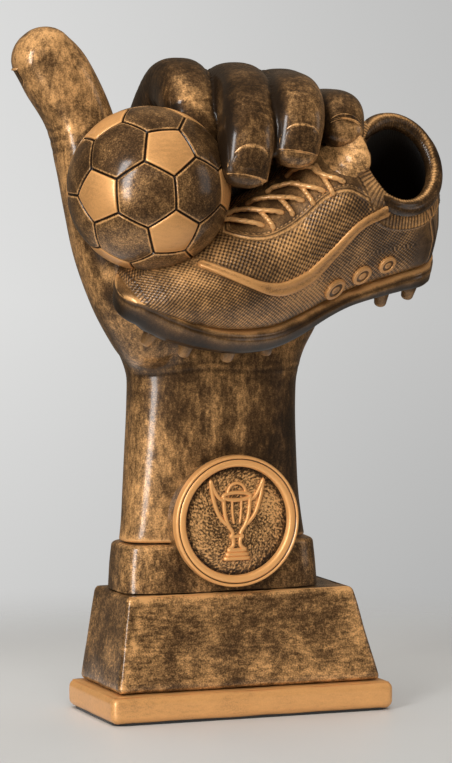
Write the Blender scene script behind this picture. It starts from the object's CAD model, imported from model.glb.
"""Figure trophy: a raised hand grips a football boot and carries a ball over a plinth.

Each operator here makes one piece or a group of like pieces round the trophy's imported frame.
Metres, +Z up, the front faces -Y. The boot's and the hand's sizes are the frame's own, in the
same order.
"""

import contextlib
import math

import bmesh
import bpy
import numpy as np
from mathutils import Euler, Matrix, Vector, kdtree, noise


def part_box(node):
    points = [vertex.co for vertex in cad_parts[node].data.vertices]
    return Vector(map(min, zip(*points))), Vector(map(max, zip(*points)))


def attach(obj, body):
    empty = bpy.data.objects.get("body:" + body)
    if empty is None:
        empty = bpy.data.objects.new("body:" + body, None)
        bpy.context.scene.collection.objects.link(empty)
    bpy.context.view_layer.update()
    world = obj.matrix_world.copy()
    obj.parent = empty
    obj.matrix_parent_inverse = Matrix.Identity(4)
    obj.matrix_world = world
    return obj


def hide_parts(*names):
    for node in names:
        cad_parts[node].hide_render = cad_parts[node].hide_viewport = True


bl_info = {
    "name": "Figure Trophy",
    "version": (1, 0, 0),
    "blender": (4, 5, 0),
    "location": "View3D > Sidebar > Trophy",
    "description": "Models the finished pieces of a football figure trophy",
    "category": "Object",
}

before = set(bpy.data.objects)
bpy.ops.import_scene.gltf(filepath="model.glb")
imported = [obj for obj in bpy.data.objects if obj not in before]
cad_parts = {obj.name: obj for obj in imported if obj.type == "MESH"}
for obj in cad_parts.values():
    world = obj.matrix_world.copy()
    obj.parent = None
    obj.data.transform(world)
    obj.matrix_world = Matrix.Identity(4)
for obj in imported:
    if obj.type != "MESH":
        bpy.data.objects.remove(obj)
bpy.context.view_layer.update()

# ---- places that follow from the frame

GAP = 0.0003
WELD = 1e-6
ROD_LOW, ROD_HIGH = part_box("clamp_rod")
ARM_X = (ROD_LOW[0] + ROD_HIGH[0]) / 2
ARM_LOW, ARM_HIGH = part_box("forearm")
WRIST = Vector((ARM_X + 0.0004, 0.0010, ARM_HIGH[2]))
BALL_LOW, BALL_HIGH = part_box("ball")
BALL_CENTRE = Vector([(low + high) / 2 for low, high in zip(BALL_LOW, BALL_HIGH)])
BALL_RADIUS = (BALL_HIGH[2] - BALL_LOW[2]) / 2
BALL_TURN = Euler((math.radians(1.7), math.radians(-35.4), math.radians(-1.7)))
SEAM_EDGE = 0.00022
BEZEL_LOW, BEZEL_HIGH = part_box("medallion_bezel")
MEDAL_RADIUS = (BEZEL_HIGH[2] - BEZEL_LOW[2]) / 2
MEDAL_CENTRE = Vector((
    (BEZEL_LOW[0] + BEZEL_HIGH[0]) / 2, BEZEL_HIGH[1], (BEZEL_LOW[2] + BEZEL_HIGH[2]) / 2))
BLOCK_TAPER = (0.0100, 0.0044)
TOP_SHIFT = 0.0018

# ---- boot, in its own frame: +X from toe to heel, +Y to the inner side, +Z up from the studs

BOOT_LENGTH = 0.0870
BOOT_HALF_WIDTH = 0.0162
BOOT_HEIGHT = 0.0400
BOOT_STATIONS = np.array((
    (0.000, 0.31, 0.325, 0.472, 0.520),
    (0.023, 0.45, 0.280, 0.470, 0.556),
    (0.069, 0.65, 0.225, 0.428, 0.604),
    (0.132, 0.83, 0.178, 0.362, 0.652),
    (0.224, 0.97, 0.110, 0.278, 0.695),
    (0.316, 1.00, 0.048, 0.203, 0.740),
    (0.408, 0.97, 0.012, 0.145, 0.795),
    (0.500, 0.89, 0.012, 0.130, 0.880),
    (0.592, 0.82, 0.065, 0.140, 0.975),
    (0.672, 0.78, 0.090, 0.152, 1.040),
    (0.764, 0.76, 0.080, 0.152, 0.990),
    (0.856, 0.75, 0.058, 0.152, 0.895),
    (0.925, 0.72, 0.025, 0.140, 0.835),
    (0.971, 0.60, 0.000, 0.115, 0.805),
    (1.000, 0.43, -0.010, 0.105, 0.790),
))
TOE_REACH = 0.0061
HEEL_REACH = 0.0089
TOP_LEAN = 0.42
TOP_TWIST = 0.35
ROLL_RADIUS = 0.0020
OPENING_LENGTH = 0.0232
OPENING_WIDTH = 0.0215
ROLL_END = 138.0
OPENING_AT = 0.872
OPENING_FALL = 0.36
ROLL_RIBS = 90
BAND_RIBS = 84
STITCH_PITCH = 0.0011
PIPING_HEIGHT = 0.0008
CAVITY_FLOOR = 0.0085
TONGUE_FROM = 0.42
TONGUE_BEND = 0.665
TONGUE_TO = 0.74
TONGUE_HALF_WIDTH = 0.0052
LACE_RADIUS = 0.0007
LACE_COUNT = 5
LACE_FIRST = 0.40
LACE_PITCH = 0.062
LACE_SLANT = 0.115
LACE_OUTER = 78.0
LACE_INNER = 103.0
STUD_RADIUS = 0.0019
STUD_HEIGHT = 0.0030
STUD_SPLAY = 0.18
STUD_SPOTS = (
    (0.055, -0.62), (0.055, 0.62), (0.145, -0.74), (0.145, 0.74), (0.275, -0.78), (0.275, 0.78),
    (0.405, -0.78), (0.405, 0.78), (0.800, -0.88), (0.800, 0.70), (0.905, -0.84), (0.905, 0.66),
)
# the piping's line over the upper: share of the length, degrees, half width
PIPING = (
    (0.19, 74, 0.0009), (0.25, 51, 0.0010), (0.32, 29, 0.0011), (0.38, 17, 0.0015),
    (0.45, 11, 0.0019), (0.53, 9, 0.0019), (0.61, 11, 0.0015), (0.69, 17, 0.0013),
    (0.76, 27, 0.0013), (0.80, 38, 0.0013),
)
# the lower edge of the lace panel: share of the length, degrees
LACE_PANEL = (
    (0.30, 92), (0.33, 80), (0.37, 70), (0.42, 64), (0.50, 62), (0.59, 71), (0.65, 68),
    (0.70, 56), (0.76, 42), (0.80, 38),
)
BADGES = ((0.605, -12.0, 0.0031), (0.698, -10.0, 0.0028), (0.785, -6.0, 0.0025))

BOOT_PLACE = (
    Matrix.Translation(WRIST + Vector((-0.0300, -0.0142, 0.0074)))
    @ Matrix.Rotation(math.radians(8.0), 4, "Z")
    @ Matrix.Rotation(math.radians(-14.0), 4, "Y")
    @ Matrix.Rotation(math.radians(36.0), 4, "X")
)

# ---- hand, in the wrist's frame: height, centre x, centre y, half width, half depth

WRIST_PLACE = Matrix.Translation(WRIST)
FOREARM_STATIONS = (
    (-0.0405, -0.0005, -0.0010, 0.02420, 0.00960),
    (-0.0356, -0.0006, -0.0009, 0.02345, 0.01008),
    (-0.0284, -0.0008, -0.0007, 0.02275, 0.01050),
    (-0.0182, -0.0007, -0.0004, 0.02215, 0.01095),
    (-0.0081, -0.0005, -0.0002, 0.02170, 0.01125),
    (0.0003, -0.0002, 0.0000, 0.02160, 0.01145),
)
PALM_STATIONS = (
    (0.0003, 0.0000, 0.0000, 0.0220, 0.0115),
    (0.0060, -0.0002, 0.0003, 0.0238, 0.0124),
    (0.0130, 0.0000, 0.0010, 0.0278, 0.0130),
    (0.0220, 0.0010, 0.0018, 0.0300, 0.0126),
    (0.0320, 0.0022, 0.0026, 0.0310, 0.0116),
    (0.0420, 0.0040, 0.0044, 0.0300, 0.0112),
    (0.0500, 0.0060, 0.0056, 0.0276, 0.0104),
    (0.0560, 0.0066, 0.0058, 0.0238, 0.0076),
)
# x, y, z, half width across the finger, half thickness
THUMB = (
    (-0.0170, -0.0040, 0.0125, 0.0108, 0.0100),
    (-0.0222, -0.0050, 0.0215, 0.0110, 0.0100),
    (-0.0274, -0.0050, 0.0330, 0.0103, 0.0094),
    (-0.0307, -0.0040, 0.0440, 0.0092, 0.0086),
    (-0.0331, -0.0028, 0.0540, 0.0084, 0.0080),
    (-0.0360, -0.0018, 0.0650, 0.0081, 0.0077),
    (-0.0411, -0.0010, 0.0745, 0.0085, 0.0077),
    (-0.0446, -0.0008, 0.0792, 0.0078, 0.0070),
)
FINGERS = {
    "index": (
        (-0.0130, 0.0050, 0.0460, 0.0078, 0.0074),
        (-0.0125, 0.0048, 0.0610, 0.0078, 0.0076),
        (-0.0110, -0.0030, 0.0712, 0.0074, 0.0072),
        (-0.0116, -0.0130, 0.0690, 0.0070, 0.0067),
        (-0.0114, -0.0185, 0.0605, 0.0065, 0.0062),
        (-0.0106, -0.0205, 0.0530, 0.0058, 0.0056),
    ),
    "middle": (
        (0.0010, 0.0052, 0.0460, 0.0076, 0.0074),
        (0.0016, 0.0040, 0.0620, 0.0074, 0.0074),
        (0.0024, -0.0050, 0.0700, 0.0072, 0.0070),
        (0.0002, -0.0205, 0.0697, 0.0071, 0.0066),
        (-0.0031, -0.0310, 0.0652, 0.0069, 0.0064),
        (-0.0050, -0.0358, 0.0588, 0.0067, 0.0060),
        (-0.0058, -0.0366, 0.0520, 0.0062, 0.0044),
    ),
    "ring": (
        (0.0124, 0.0050, 0.0450, 0.0074, 0.0072),
        (0.0130, 0.0040, 0.0590, 0.0072, 0.0072),
        (0.0136, -0.0050, 0.0682, 0.0070, 0.0068),
        (0.0120, -0.0200, 0.0692, 0.0069, 0.0064),
        (0.0098, -0.0305, 0.0676, 0.0067, 0.0062),
        (0.0084, -0.0352, 0.0635, 0.0065, 0.0058),
        (0.0074, -0.0360, 0.0568, 0.0060, 0.0045),
    ),
    "little": (
        (0.0232, 0.0046, 0.0430, 0.0064, 0.0064),
        (0.0250, 0.0030, 0.0550, 0.0064, 0.0064),
        (0.0264, -0.0050, 0.0640, 0.0062, 0.0060),
        (0.0246, -0.0160, 0.0655, 0.0061, 0.0057),
        (0.0232, -0.0255, 0.0648, 0.0060, 0.0054),
        (0.0222, -0.0300, 0.0610, 0.0055, 0.0044),
    ),
}
# where each nail sits: shares of the path at its root and its free edge, turn in degrees, half its
# width in radians, lift
NAILS = {
    "middle": (0.870, 1.125, 0.0, 1.00, 0.0),
    "ring": (0.870, 1.060, 0.0, 1.00, 0.0),
    "little": (0.930, 1.140, 0.0, 0.82, 0.0),
    "thumb": (0.910, 1.060, -70.0, 0.62, -0.0002),
}
NAIL_ROOT_POWER = 2.4
NAIL_EDGE_POWER = 7.0
ACROSS = (1.0, 0.0, 0.0)
THUMB_ACROSS = (1.0, 0.0, 0.3)


# ---- shader sums


class Value:
    """A number socket that can be used in sums: an operator adds its Math node."""

    def __init__(self, finish, socket):
        self.finish = finish
        self.socket = socket

    def sum(self, operation, first, second=None, clamp=False):
        sockets = {0: first} if second is None else {0: first, 1: second}
        made = self.finish.node(
            "ShaderNodeMath", {"operation": operation, "use_clamp": clamp}, sockets)
        return Value(self.finish, made.outputs[0])

    def __add__(self, other):
        return self.sum("ADD", self, other)

    __radd__ = __add__

    def __sub__(self, other):
        return self.sum("SUBTRACT", self, other)

    def __rsub__(self, other):
        return self.sum("SUBTRACT", other, self)

    def __mul__(self, other):
        return self.sum("MULTIPLY", self, other)

    __rmul__ = __mul__

    def clamped(self):
        return self.sum("ADD", self, 0.0, clamp=True)

    def between(self, low, high):
        """0 at low, 1 at high, with soft ends."""
        made = self.finish.node(
            "ShaderNodeMapRange",
            {"interpolation_type": "SMOOTHSTEP"},
            {"Value": self, "From Min": low, "From Max": high},
        )
        return Value(self.finish, made.outputs["Result"])


class Tree:
    """A node tree and the ways to add to it."""

    def __init__(self, tree):
        self.tree = tree

    def node(self, kind, settings=None, sockets=None):
        made = self.tree.nodes.new(kind)
        for key, setting in (settings or {}).items():
            if key == "stops":
                ramp = made.color_ramp
                while len(ramp.elements) < len(setting):
                    ramp.elements.new(0.5)
                for stop, (position, colour) in zip(ramp.elements, setting):
                    stop.position = position
                    stop.color = (*colour, 1.0)
            else:
                setattr(made, key, setting)
        self.fill(made, sockets or {})
        return made

    def fill(self, made, sockets):
        for key, entry in sockets.items():
            entry = entry.socket if isinstance(entry, Value) else entry
            if isinstance(entry, bpy.types.NodeSocket):
                self.tree.links.new(entry, made.inputs[key])
            else:
                made.inputs[key].default_value = entry

    def ramp(self, amount, *stops):
        made = self.node("ShaderNodeValToRGB", {"stops": stops}, {0: amount})
        return made.outputs["Color"]

    def dot(self, vector, way):
        made = self.node("ShaderNodeVectorMath", {"operation": "DOT_PRODUCT"}, {0: vector, 1: way})
        return Value(self, made.outputs["Value"])


class Finish(Tree):
    """A material and the nodes that make it."""

    def __init__(self, name):
        self.material = bpy.data.materials.new(name)
        self.material.use_nodes = True
        super().__init__(self.material.node_tree)
        self.shader = self.tree.nodes["Principled BSDF"]
        self.place = self.node("ShaderNodeTexCoord").outputs["Object"]

    def set(self, **sockets):
        """Sets or links the shader's own sockets: Base_Color stands for Base Color."""
        self.fill(self.shader, {key.replace("_", " "): entry for key, entry in sockets.items()})

    def stretched(self, scale):
        made = self.node("ShaderNodeMapping", None, {"Vector": self.place, "Scale": scale})
        return made.outputs["Vector"]

    def noise(self, size, detail=3.0, rough=0.55, place=None):
        """Noise whose lumps are about this many metres across."""
        made = self.node("ShaderNodeTexNoise", None, {
            "Vector": place or self.place, "Scale": 1.0 / size, "Detail": detail,
            "Roughness": rough})
        return Value(self, made.outputs[0])

    def attribute(self, name):
        made = self.node("ShaderNodeAttribute", {"attribute_name": name})
        return Value(self, made.outputs["Fac"])

    def bump(self, height, distance, strength=1.0):
        made = self.node("ShaderNodeBump", None, {
            "Height": height, "Distance": distance, "Strength": strength})
        self.set(Normal=made.outputs["Normal"])


def finish_settings():
    return bpy.context.scene.trophy_finish


def shade(base, factor=1.0):
    return tuple(min(1.0, channel * factor) for channel in base)


def once(make):
    """Makes each material the first time it is asked for, and finds it after that."""
    def found(name, *args, **settings):
        return bpy.data.materials.get(name) or make(name, *args, **settings)
    return found


@once
def bronze(name, gold=0.0, brushed=None, grain=1.0, roughness=0.34, gloss=0.17):
    """Dark resin dry-brushed with gold under a gloss coat. gold shifts how much of it is golden."""
    colours = finish_settings()
    finish = Finish(name)
    drift = finish.noise(0.016, 2.0)
    patch = finish.noise(0.0045, 3.0, 0.6)
    sponge = finish.noise(0.0009, 3.0, 0.6)
    grit = finish.noise(0.00036, 1.0, 0.5)
    wear = finish.attribute("wear")
    amount = (0.54 + gold + (drift - 0.5) * 0.9 + (patch - 0.5) * 0.6
              + (sponge - 0.5) * 0.42 * grain + (grit - 0.5) * 0.62 * grain + wear * 0.50)
    if brushed:
        streaks = finish.noise(0.001, 2.0, 0.5, finish.stretched(brushed))
        amount = amount + (streaks - 0.5) * 0.55
    mask = amount.between(-0.05, 1.1)
    dark, middle, light = colours.bronze_dark, colours.bronze_middle, colours.bronze_gold
    colour = finish.ramp(
        mask, (0.04, shade(dark)), (0.30, shade(middle, 0.50)), (0.50, shade(middle)),
        (0.66, shade(light, 0.52)), (0.82, shade(light)), (0.98, shade(light, 1.9)))
    finish.set(
        Base_Color=colour, Metallic=0.30, Roughness=roughness + 0.16 - mask * 0.12,
        Specular_IOR_Level=0.12, Coat_Weight=0.8, Coat_Roughness=gloss, Coat_IOR=1.45)
    finish.bump(sponge * 0.5 + grit * 0.4 + patch, 0.00009, 0.6)
    return finish.material


@once
def gold_paint(name, tone=1.0, aged=0.5):
    """Satin gold enamel with faint brush drift, darker where it thins."""
    finish = Finish(name)
    drift = finish.noise(0.011, 2.0)
    brush = finish.noise(0.0009, 3.0, 0.6, finish.stretched((0.35, 1.0, 1.4)))
    grit = finish.noise(0.00035, 2.0)
    wear = finish.attribute("wear")
    amount = (0.62 + (drift - 0.5) * 0.7 * aged + (brush - 0.5) * 0.55 * aged
              + (grit - 0.5) * 0.5 * aged + wear * 0.5)
    light = finish_settings().gold_paint
    mask = amount.between(0.0, 1.0)
    colour = finish.ramp(
        mask, (0.0, shade(light, 0.16)), (0.35, shade(light, 0.6 * tone)),
        (0.62, shade(light, tone)), (1.0, shade(light, 1.25 * tone)))
    finish.set(
        Base_Color=colour, Metallic=0.38, Roughness=0.52 - mask * 0.12, Specular_IOR_Level=0.3,
        Coat_Weight=0.4, Coat_Roughness=0.16)
    finish.bump(brush * 0.5 + grit * 0.3 + drift, 0.00008, 0.5)
    return finish.material


def lining(name):
    """The boot's dark inside, with a little dust of gold near its mouth."""
    finish = Finish(name)
    weave = finish.noise(0.0007, 3.0)
    wear = finish.attribute("wear")
    mask = (wear + (weave - 0.5) * 0.6).between(0.25, 1.0)
    dark = shade(finish_settings().bronze_dark, 0.18)
    colour = finish.ramp(mask, (0.0, dark), (1.0, shade(finish_settings().bronze_gold)))
    finish.set(Base_Color=colour, Metallic=mask * 0.6, Roughness=0.62 - mask * 0.2)
    finish.bump(weave, 0.00008, 0.5)
    return finish.material


def felt(name):
    finish = Finish(name)
    fibres = finish.noise(0.0004, 4.0, 0.7)
    clumps = finish.noise(0.003, 3.0)
    base = shade(finish_settings().felt)
    colour = finish.ramp(
        (fibres * 0.6 + clumps * 0.4).clamped(), (0.3, shade(base, 0.4)), (0.7, base))
    finish.set(Base_Color=colour, Roughness=0.95, Sheen_Weight=0.3)
    finish.bump(fibres, 0.0002, 0.8)
    return finish.material


def zinc(name):
    finish = Finish(name)
    turned = finish.noise(0.0006, 3.0, 0.6, finish.stretched((0.4, 0.4, 3.0)))
    bloom = finish.noise(0.004, 3.0)
    base = shade(finish_settings().steel)
    colour = finish.ramp(
        (turned * 0.4 + bloom * 0.6).clamped(), (0.3, shade(base, 0.72)), (0.7, base))
    finish.set(Base_Color=colour, Metallic=1.0, Roughness=turned * 0.2 + 0.26)
    finish.bump(turned, 0.00005, 0.6)
    return finish.material


# ---- working on the bench


def deselect():
    if bpy.context.object and bpy.context.object.mode != "OBJECT":
        bpy.ops.object.mode_set(mode="OBJECT")
    bpy.ops.object.select_all(action="DESELECT")


def only(piece):
    deselect()
    piece.select_set(True)
    bpy.context.view_layer.objects.active = piece


@contextlib.contextmanager
def editing(piece):
    """Edit mode on one piece, with all of it selected at first."""
    only(piece)
    bpy.ops.object.mode_set(mode="EDIT")
    bpy.ops.mesh.select_mode(type="FACE")
    bpy.ops.mesh.select_all(action="SELECT")
    yield
    bpy.ops.object.mode_set(mode="OBJECT")


def primitive(kind, **settings):
    """One of Blender's primitives, with its place put into its mesh."""
    deselect()
    getattr(bpy.ops.mesh, f"primitive_{kind}_add")(**settings)
    placed(bpy.context.object)
    return bpy.context.object


def flip(piece):
    with editing(piece):
        bpy.ops.mesh.flip_normals()


def pick(kind, test):
    """In edit mode, selects the faces, edges or verts that pass a test and nothing else."""
    bpy.ops.mesh.select_mode(type=kind.upper())
    bpy.ops.mesh.select_all(action="DESELECT")
    bm = bmesh.from_edit_mesh(bpy.context.object.data)
    bm.normal_update()
    for element in {"face": bm.faces, "edge": bm.edges, "vert": bm.verts}[kind]:
        if test(element):
            element.select_set(True)
    bm.select_flush(True)
    bmesh.update_edit_mesh(bpy.context.object.data)


def gridded(pitch):
    """In edit mode, cuts the whole mesh along evenly spaced planes across X, Y and Z."""
    bpy.ops.mesh.select_all(action="SELECT")
    points = np.array([v.co for v in bmesh.from_edit_mesh(bpy.context.object.data).verts])
    for axis in range(3):
        low, high = points[:, axis].min(), points[:, axis].max()
        across = [float(axis == i) for i in range(3)]
        for place in np.arange(low + pitch / 2, high, pitch):
            bpy.ops.mesh.select_all(action="SELECT")
            bpy.ops.mesh.bisect(plane_co=[place * a for a in across], plane_no=across)


def upright(edge):
    way = edge.verts[1].co - edge.verts[0].co
    return abs(way.z) > 0.7 * way.length


def level(height):
    """A test for edges that lie at this height."""
    return lambda edge: all(abs(vert.co.z - height) < WELD for vert in edge.verts)


def modified(piece, kind, **settings):
    """Adds a modifier and applies it at once."""
    only(piece)
    modifier = piece.modifiers.new(kind.lower(), kind)
    for key, setting in settings.items():
        setattr(modifier, key, setting)
    bpy.ops.object.modifier_apply(modifier=modifier.name)


def placed(piece):
    """Puts the object's place into its mesh, so that the object sits at the origin."""
    only(piece)
    bpy.ops.object.transform_apply(location=True, rotation=True, scale=True)


def done(piece, name, material, nodes=(), angle=None):
    """Names a finished piece, shades it, and ties it to the frame."""
    placed(piece)
    piece.name = name
    piece.data.name = name
    piece.data.materials.clear()
    piece.data.materials.append(material)
    if angle is None:
        bpy.ops.object.shade_smooth()
    else:
        bpy.ops.object.shade_smooth_by_angle(angle=math.radians(angle))
    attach(piece, "root")
    if nodes:
        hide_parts(*nodes)


def linked(name, data):
    piece = bpy.data.objects.new(name, data)
    bpy.context.scene.collection.objects.link(piece)
    return piece


def from_points(name, points, faces):
    """An object of these points, given in the trophy's frame."""
    mesh = bpy.data.meshes.new(name)
    mesh.from_pydata([tuple(p) for p in points], [], [tuple(f) for f in faces])
    mesh.update()
    return linked(name, mesh)


def outward(piece):
    """Closes a piece's seams and turns its faces out."""
    with editing(piece):
        bpy.ops.mesh.remove_doubles(threshold=WELD)
        bpy.ops.mesh.normals_make_consistent(inside=False)


def joined(pieces):
    only(pieces[0])
    for piece in pieces[1:]:
        piece.select_set(True)
    bpy.ops.object.join()
    return pieces[0]


def listed(items, key, width, kind):
    values = np.empty(len(items) * width, kind)
    items.foreach_get(key, values)
    return values.reshape(-1, width)


def coordinates(mesh):
    return listed(mesh.vertices, "co", 3, np.float64)


def set_coordinates(mesh, points):
    mesh.vertices.foreach_set("co", np.ascontiguousarray(points, np.float32).ravel())
    mesh.update()


def normals_of(mesh):
    return listed(mesh.vertex_normals, "vector", 3, np.float32).astype(np.float64)


def surface_of(piece):
    """A piece's points and their normals."""
    return coordinates(piece.data), normals_of(piece.data)


def edges_of(mesh):
    return listed(mesh.edges, "vertices", 2, np.int64)


def lumps(points, size):
    """Noise at each point, whose lumps are about this many metres across."""
    return np.array([noise.noise(Vector(point) / size) for point in points])


def averaged(values, edges, rounds):
    """Each value's mean with its neighbours', taken several times."""
    count = np.bincount(edges.ravel(), minlength=len(values)).astype(np.float64)
    shape = (-1,) + (1,) * (values.ndim - 1)
    for _ in range(rounds):
        total = np.zeros_like(values)
        np.add.at(total, edges[:, 0], values[edges[:, 1]])
        np.add.at(total, edges[:, 1], values[edges[:, 0]])
        values = (values + total) / (1.0 + count.reshape(shape))
    return values


def mark_wear(piece, extra=0.0, height=1.0, rounds=1):
    """Stores how golden each point is: extra, and 1 more where it stands proud by height."""
    mesh = piece.data
    points = coordinates(mesh)
    edges = edges_of(mesh)
    proud = ((points - averaged(points, edges, rounds)) * normals_of(mesh)).sum(axis=1) / height
    wear = np.clip(np.clip(proud, -1.0, 1.0) + extra, -1.5, 1.5)
    layer = mesh.attributes.get("wear") or mesh.attributes.new("wear", "FLOAT", "POINT")
    layer.data.foreach_set("value", wear.astype(np.float32))


# ---- shapes that follow a rule


def between_knots(a, b, c, d, t):
    """The Catmull-Rom value at t from b to c."""
    return 0.5 * (2 * b + (c - a) * t + (2 * a - 5 * b + 4 * c - d) * t * t
                  + (3 * b - a - 3 * c + d) * t ** 3)


def spline(rows, steps):
    """Catmull-Rom values through rows of numbers, with steps points from each row to the next."""
    rows = np.asarray(rows, float)
    padded = np.vstack((rows[0], rows, rows[-1]))
    made = []
    for i in range(len(rows) - 1):
        a, b, c, d = padded[i:i + 4]
        for step in range(steps):
            t = step / steps
            made.append(between_knots(a, b, c, d, t))
    return np.array(made + [rows[-1]])


def rounded_power(value, power):
    return np.sign(value) * np.abs(value) ** (2.0 / power)


def circle(count):
    """Evenly spaced angles round a whole turn."""
    return np.arange(count) * 2 * math.pi / count


def oval(turn, power):
    """Points of a squared circle: power 2 is round, and more is squarer."""
    return rounded_power(np.cos(turn), power), rounded_power(np.sin(turn), power)


def unit(vectors):
    return vectors / np.maximum(np.linalg.norm(vectors, axis=-1, keepdims=True), 1e-12)


def skin_of(rings, closed=True, ends=True):
    """Points and faces of a skin over rings, given as an array of rings, points and x, y, z."""
    rows, columns = rings.shape[:2]
    points = rings.reshape(-1, 3)
    index = np.arange(rows * columns).reshape(rows, columns)
    ahead = np.roll(index, -1, axis=1) if closed else index[:, 1:]
    here = index if closed else index[:, :-1]
    faces = np.stack((here[:-1], ahead[:-1], ahead[1:], here[1:]), axis=-1).reshape(-1, 4).tolist()
    if ends and closed:
        first, last = len(points), len(points) + 1
        points = np.vstack((points, rings[0].mean(axis=0), rings[-1].mean(axis=0)))
        faces += [(int(ahead[0, i]), int(here[0, i]), first) for i in range(columns)]
        faces += [(int(here[-1, i]), int(ahead[-1, i]), last) for i in range(columns)]
    return points, faces


def limb_rings(stations, steps=8, sides=48, across=ACROSS, power=2.5):
    """Rings of an oval limb through stations, with round ends, and its path, side and back ways."""
    rows = spline(stations, steps)
    path = rows[:, :3]
    ahead = unit(np.vstack((path[1:], path[-1])) - np.vstack((path[0], path[:-1])))
    across = np.asarray(across, float)
    side = unit(across - ahead * (ahead @ across)[:, None])
    back = np.cross(ahead, side)
    u, v = oval(circle(sides), power)
    rings = []
    for i, row in enumerate(rows):
        ring = side[i] * (u * row[3])[:, None] + back[i] * (v * row[4])[:, None]
        way = {0: -1, len(rows) - 1: 1}.get(i)
        turns = [0.0] if way is None else [math.radians(a) for a in (0, 15, 30, 45, 60, 75)]
        for angle in turns[::-1] if way == -1 else turns:
            rings.append(path[i] + ahead[i] * ((way or 0) * math.sin(angle) * row[4])
                         + ring * math.cos(angle))
    return np.array(rings), path, side, back, rows


def boot_rows(share):
    """Half width, underside, seam and top in metres at each share of the length."""
    share = np.clip(np.asarray(share, float), 0.0, 1.0)
    knots, last = BOOT_STATIONS[:, 0], len(BOOT_STATIONS) - 1
    i = np.clip(np.searchsorted(knots, share, side="right") - 1, 0, last - 1)
    a, b, c, d = (BOOT_STATIONS[np.clip(i + k, 0, last), 1:] for k in (-1, 0, 1, 2))
    t = ((share - knots[i]) / (knots[i + 1] - knots[i]))[..., None]
    width, under, seam, top = np.moveaxis(between_knots(a, b, c, d, t), -1, 0)
    return width * BOOT_HALF_WIDTH, under * BOOT_HEIGHT, seam * BOOT_HEIGHT, top * BOOT_HEIGHT


def ankle_blend(share):
    return np.clip((np.asarray(share) - 0.5) / 0.3, 0.0, 1.0)


def upper_points(share, degrees, lift=0.0):
    """Points on the upper, in the boot's frame: 0 degrees is the outer side and 90 the top."""
    share, angle = np.broadcast_arrays(
        np.asarray(share, float), np.radians(np.asarray(degrees, float)))
    if np.any(lift):
        step = 1e-3
        here = upper_points(share, degrees)
        along = upper_points(share + step, degrees) - here
        around = upper_points(share, np.degrees(angle + step)) - here
        return here + unit(np.cross(along, around)) * np.asarray(lift)[..., None]
    width, _, seam, top = boot_rows(share)
    middle = seam + 0.38 * (top - seam)
    blend = ankle_blend(share)
    c, s = -np.cos(angle), np.sin(angle)
    power = np.where(s > 0, 2.25 + 3.75 * blend, 4.5)
    reach = np.where(s > 0, top - middle, middle - seam)
    y = rounded_power(c, power) * width
    rise = rounded_power(s, power)
    tip = blend * np.maximum(0.0, rise) * y
    return np.stack((share * BOOT_LENGTH + TOP_TWIST * tip, y,
                     middle + rise * reach + TOP_LEAN * tip + GAP), axis=-1)


def opening_path(turn, spread=1.0):
    """Points round the boot's opening, on the middle of the padded roll. Turn 0 is the heel."""
    turn = np.asarray(turn, float)
    level = float(boot_rows(OPENING_AT)[3]) - ROLL_RADIUS * 0.4
    y = np.sin(turn) * OPENING_WIDTH / 2 * spread
    along = np.cos(turn) * OPENING_LENGTH / 2 * spread
    return np.stack((OPENING_AT * BOOT_LENGTH + along + TOP_TWIST * y, y,
                     level + TOP_LEAN * y - OPENING_FALL * along), axis=-1)


def in_opening(points):
    """Where points lie across the boot's opening: 1 is the middle of the padded roll."""
    along = points[..., 0] - OPENING_AT * BOOT_LENGTH - TOP_TWIST * points[..., 1]
    return along / (OPENING_LENGTH / 2), points[..., 1] / (OPENING_WIDTH / 2)


def in_trophy(points, place=BOOT_PLACE):
    """Points of the boot's frame, or of another, in the trophy's."""
    matrix = np.array(place)
    return points @ matrix[:3, :3].T + matrix[:3, 3]


def distance_to(line, points):
    """How far each point is from a dense line of points, and the nearest one's number."""
    tree = kdtree.KDTree(len(line))
    for i, point in enumerate(line):
        tree.insert(point, i)
    tree.balance()
    found = [tree.find(point) for point in points]
    return np.array([f[2] for f in found]), np.array([f[1] for f in found])


def waves(angle):
    """A cosine between 0 and 1."""
    return 0.5 + 0.5 * np.cos(angle)


def bell(values, middle, width):
    """1 at the middle, falling away on both sides."""
    return np.exp(-((values - middle) / width) ** 2)


def smoothstep(low, high, values):
    t = np.clip((values - low) / (high - low), 0.0, 1.0)
    return t * t * (3 - 2 * t)


# ---- sizes and colours


def length(name, description, default):
    return bpy.props.FloatProperty(
        name=name, description=description, default=default, unit="LENGTH")


def colour(name, description, default):
    return bpy.props.FloatVectorProperty(
        name=name, description=description, subtype="COLOR", default=default)


class TrophyPlinthSettings(bpy.types.PropertyGroup):
    edge: length("Edge", "Rounding of the block's edges", 0.0009)
    lip: length("Lip", "Rounding of the base slab's edges", 0.0011)
    foot: length("Foot", "How far the slab stays over the floor", 0.0004)
    corner: length("Corner", "Radius of the slab's upright corners", 0.0020)


class TrophyMedalSettings(bpy.types.PropertyGroup):
    bezel_width: length("Bezel width", "Width of the gold ring", 0.0029)
    relief: length("Relief", "Thickness of the cup's raised outline", 0.00050)


class TrophyHandSettings(bpy.types.PropertyGroup):
    voxel: length("Voxel", "Fineness of the hand's skin", 0.00052)
    crease: length("Crease", "Depth of the skin's folds", 0.00034)


class TrophyBallSettings(bpy.types.PropertyGroup):
    groove_width: length("Groove width", "Half width of the seam between panels", 0.00024)
    groove_depth: length("Groove depth", "Depth of the seam between panels", 0.00042)
    pillow: length("Pillow", "How far each panel's edge falls away", 0.00022)


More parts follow.
